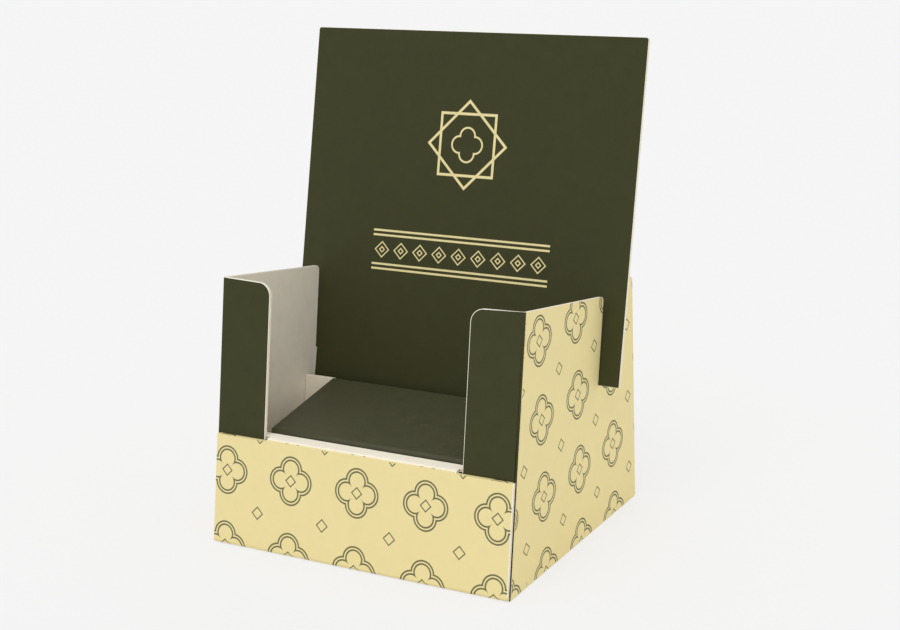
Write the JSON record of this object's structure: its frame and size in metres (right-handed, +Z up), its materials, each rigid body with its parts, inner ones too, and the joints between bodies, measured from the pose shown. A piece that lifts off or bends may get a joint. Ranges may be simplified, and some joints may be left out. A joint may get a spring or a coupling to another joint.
{
  "type": "corrugated board counter display stand",
  "caption": "Folded corrugated board counter display: open tray with a low front and front wings, a leaning header card in side slots, and a raised shelf inside.",
  "frame": {"origin": "on the resting surface, under the middle of the tray's footprint", "axes": "+Z up; -Y towards the person who takes the goods; X across the stand, which is symmetric about X = 0"},
  "size_m": [0.339, 0.2519, 0.4257],
  "materials": {
    "tray_board": "matt printed corrugated board, pale yellow outside and unprinted inside",
    "header_board": "matt printed corrugated board, dark olive",
    "shelf_board": "matt printed corrugated board, dark olive"
  },
  "bodies": {
    "root": {"tray": "tray_board", "header_card": "header_board", "shelf": "shelf_board"}
  },
  "joints": []
}
